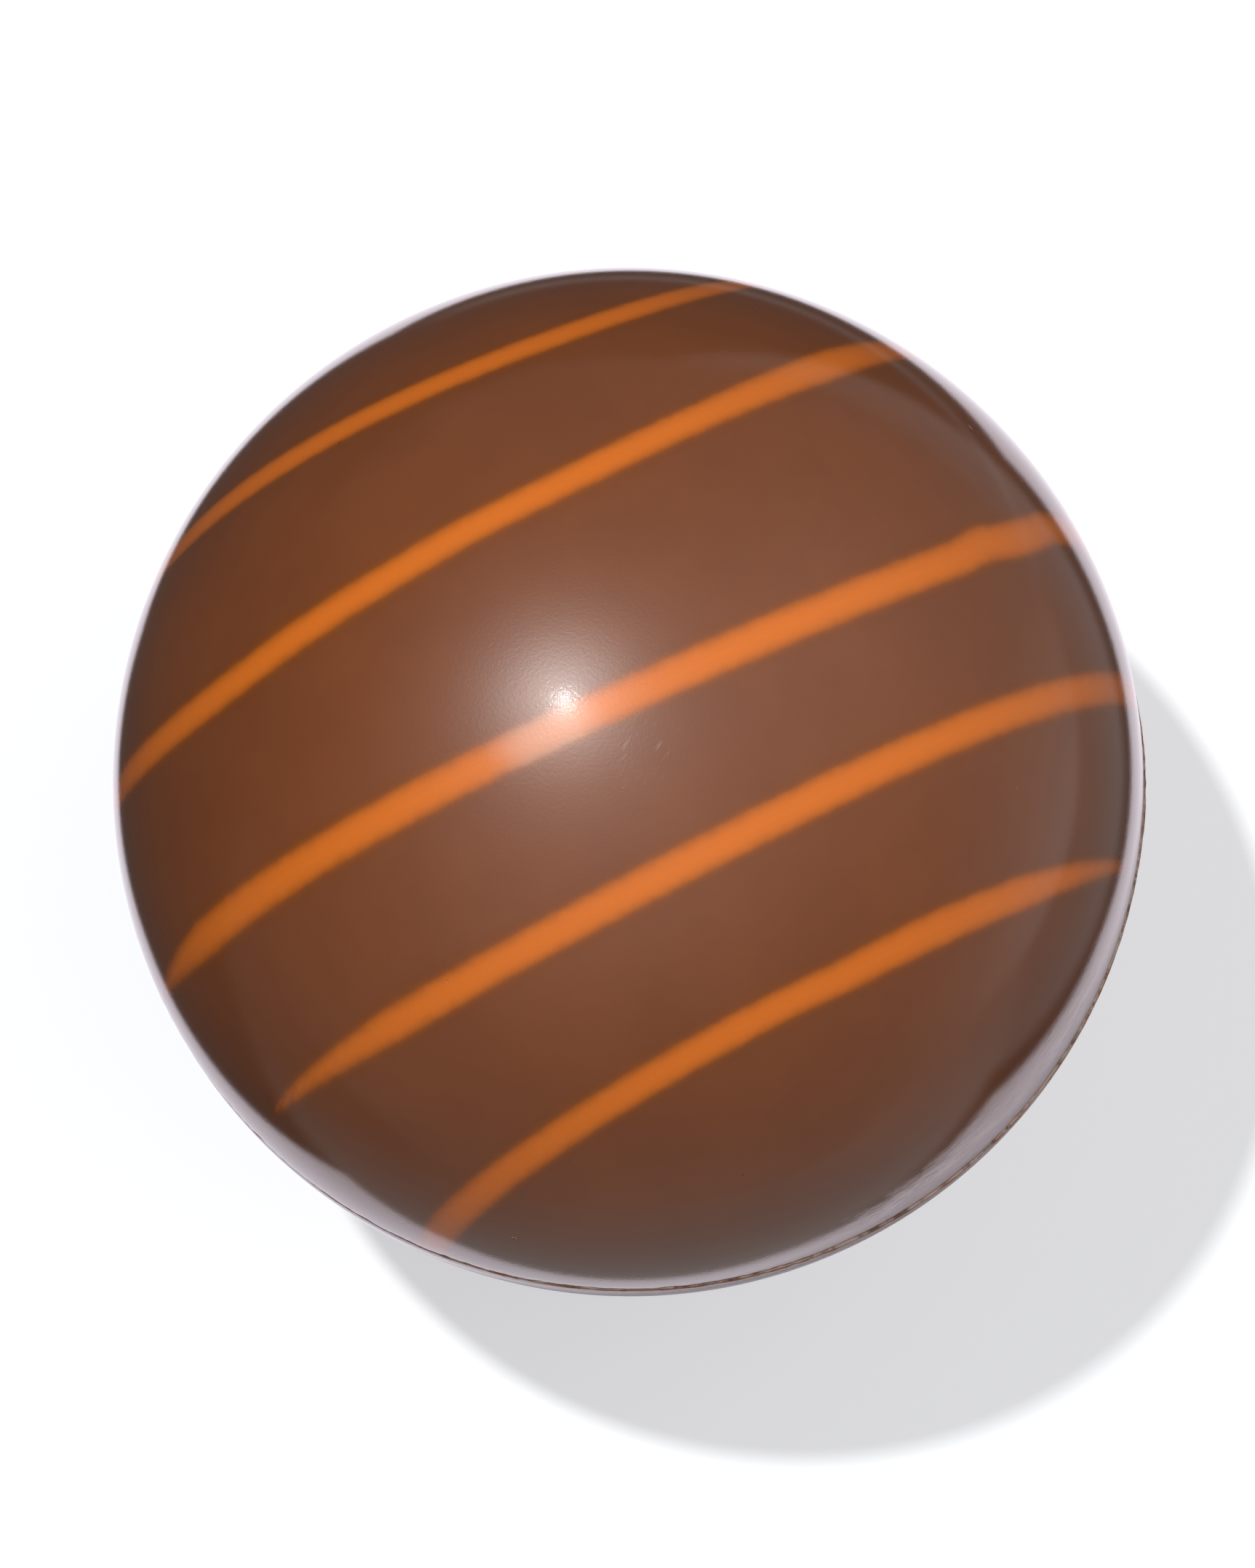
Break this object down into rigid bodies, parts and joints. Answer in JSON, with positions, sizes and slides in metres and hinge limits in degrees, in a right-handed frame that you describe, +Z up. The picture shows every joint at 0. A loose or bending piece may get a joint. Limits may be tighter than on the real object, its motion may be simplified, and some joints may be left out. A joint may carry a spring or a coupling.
{
  "type": "hot chocolate sphere",
  "caption": "Milk chocolate ball for stirring into hot milk, two moulded halves joined at a level seam, with piped orange stripes.",
  "frame": {"origin": "centre of the small flat spot that the ball rests on", "axes": "+Z up through the middle of both halves, at right angles to the seam; +X and +Y level, with the stripes of the upper half running roughly from -X -Y to +X +Y"},
  "size_m": [0.0632, 0.0632, 0.061],
  "materials": {
    "milk_chocolate": "satin, as it leaves a polished mould: a warm milk-chocolate brown with a soft glow round each highlight, and hand-piped orange stripes flush in the surface"
  },
  "bodies": {
    "root": {"upper_half": "milk_chocolate", "lower_half": "milk_chocolate"}
  },
  "joints": []
}
